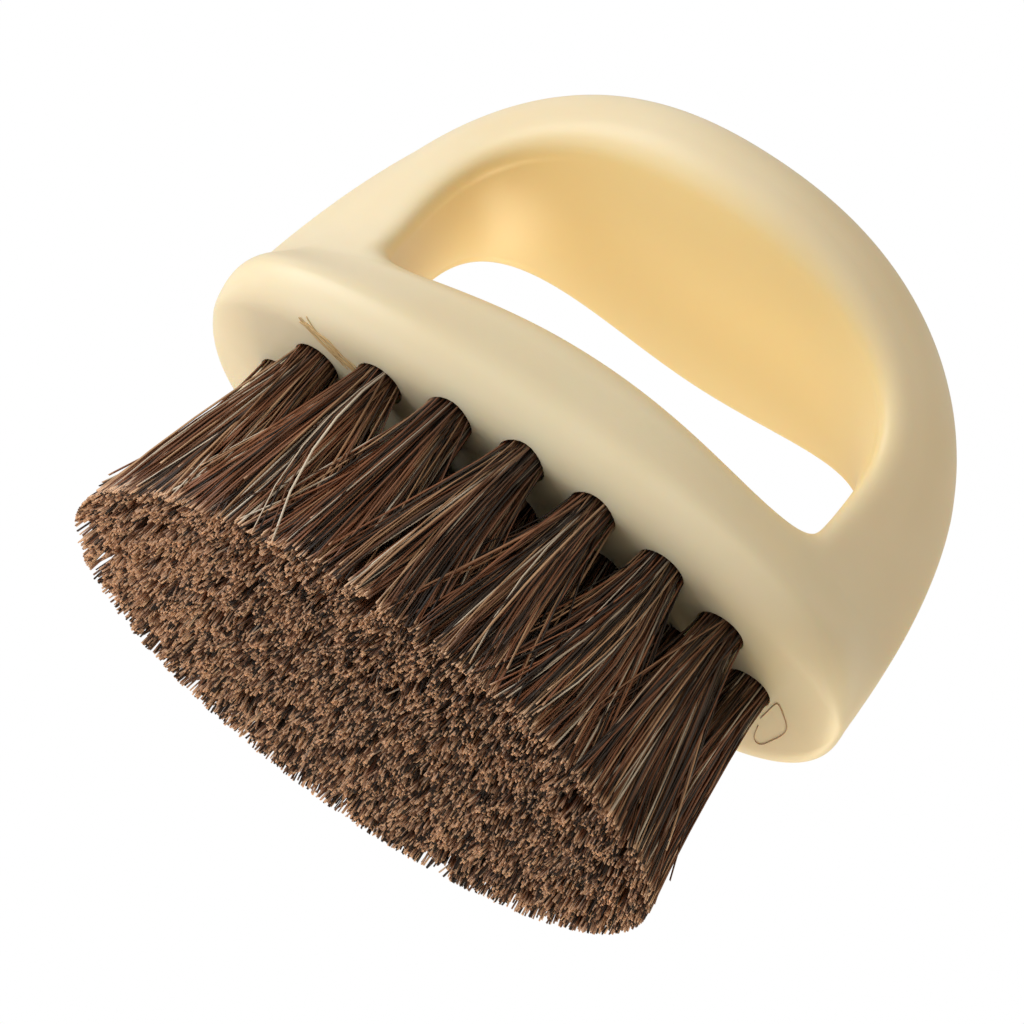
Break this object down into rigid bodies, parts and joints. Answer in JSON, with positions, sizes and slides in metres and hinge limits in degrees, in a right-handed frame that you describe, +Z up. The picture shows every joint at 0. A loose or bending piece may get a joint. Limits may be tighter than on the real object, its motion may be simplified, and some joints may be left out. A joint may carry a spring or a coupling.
{
  "type": "shoe brush",
  "caption": "Palm shoe brush: an oval moulded plastic head with a broad finger loop on top and brown hair tufts stapled into its underside.",
  "frame": {"origin": "on the plane of the trimmed hair ends, below the middle of the head: the point the brush stands on", "axes": "+X along the head's long axis, -Y towards the front of the finger hole, +Z up from the hair ends to the finger loop"},
  "size_m": [0.0822, 0.0487, 0.073],
  "materials": {
    "cream_plastic": "smooth moulded plastic with a soft sheen",
    "brown_hair_1": "coarse dark brown hair",
    "brown_hair_2": "coarse brown hair",
    "brown_hair_3": "coarse near-black brown hair",
    "staple_steel": "plain drawn steel strip"
  },
  "bodies": {
    "root": {"handle": "cream_plastic", "staple_centre_01": "staple_steel", "staple_centre_02": "staple_steel", "staple_inner_01": "staple_steel", "staple_inner_02": "staple_steel", "staple_inner_03": "staple_steel", "staple_inner_04": "staple_steel", "staple_inner_05": "staple_steel", "staple_inner_06": "staple_steel", "staple_inner_07": "staple_steel", "staple_inner_08": "staple_steel", "staple_rim_01": "staple_steel", "staple_rim_02": "staple_steel", "staple_rim_03": "staple_steel", "staple_rim_04": "staple_steel", "staple_rim_05": "staple_steel", "staple_rim_06": "staple_steel", "staple_rim_07": "staple_steel", "staple_rim_08": "staple_steel", "staple_rim_09": "staple_steel", "staple_rim_10": "staple_steel", "staple_rim_11": "staple_steel", "staple_rim_12": "staple_steel", "staple_rim_13": "staple_steel", "staple_rim_14": "staple_steel", "staple_rim_15": "staple_steel", "staple_rim_16": "staple_steel", "tuft_centre_01": "brown_hair_1", "tuft_centre_02": "brown_hair_2", "tuft_inner_01": "brown_hair_2", "tuft_inner_02": "brown_hair_3", "tuft_inner_03": "brown_hair_1", "tuft_inner_04": "brown_hair_2", "tuft_inner_05": "brown_hair_3", "tuft_inner_06": "brown_hair_1", "tuft_inner_07": "brown_hair_2", "tuft_inner_08": "brown_hair_3", "tuft_rim_01": "brown_hair_1", "tuft_rim_02": "brown_hair_2", "tuft_rim_03": "brown_hair_3", "tuft_rim_04": "brown_hair_1", "tuft_rim_05": "brown_hair_2", "tuft_rim_06": "brown_hair_3", "tuft_rim_07": "brown_hair_1", "tuft_rim_08": "brown_hair_2", "tuft_rim_09": "brown_hair_3", "tuft_rim_10": "brown_hair_1", "tuft_rim_11": "brown_hair_2", "tuft_rim_12": "brown_hair_3", "tuft_rim_13": "brown_hair_1", "tuft_rim_14": "brown_hair_2", "tuft_rim_15": "brown_hair_3", "tuft_rim_16": "brown_hair_1"}
  },
  "joints": []
}
